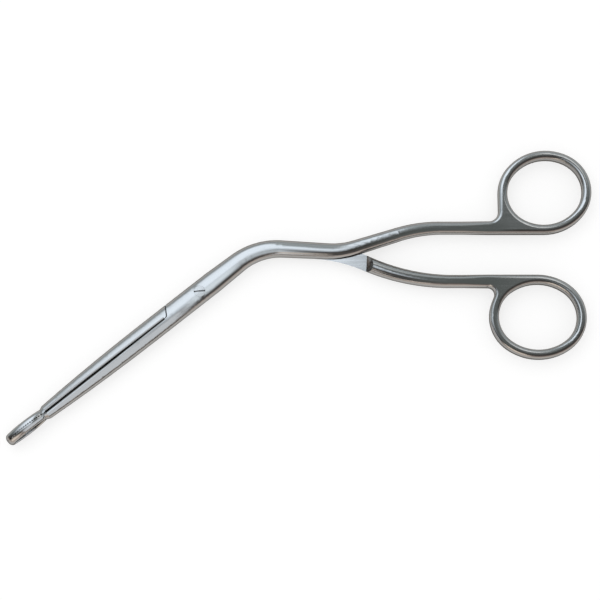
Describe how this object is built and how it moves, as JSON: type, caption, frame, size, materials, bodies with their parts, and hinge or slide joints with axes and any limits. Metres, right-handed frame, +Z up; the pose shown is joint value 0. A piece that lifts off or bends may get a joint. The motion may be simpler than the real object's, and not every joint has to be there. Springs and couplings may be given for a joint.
{
  "type": "magill forceps",
  "caption": "Angled ring-handled forceps with a screwed lap joint and fenestrated serrated oval loops, for guiding tubes past the throat.",
  "frame": {"origin": "middle of the bounding box, at its underside: the lowest points of the gripping loops", "axes": "+X along the handle from the jaws to the finger rings, +Y across the handle towards the front half's ring, +Z up along the pivot screw with the instrument lying on its side"},
  "size_m": [0.2302, 0.118, 0.009],
  "materials": {
    "front_steel": "satin polished stainless steel",
    "rear_steel": "satin polished stainless steel",
    "screw_steel": "ground stainless steel"
  },
  "bodies": {
    "rear": {"rear_half": "rear_steel", "pivot_screw": "screw_steel"},
    "front": {"front_half": "front_steel"}
  },
  "joints": [
    {"name": "jaw_pivot", "type": "hinge", "parent": "rear", "child": "front", "pos_m": [-0.04036, 0.00143, 0.0045], "axis": [0, 0, 1], "range_deg": [0, 30]}
  ]
}
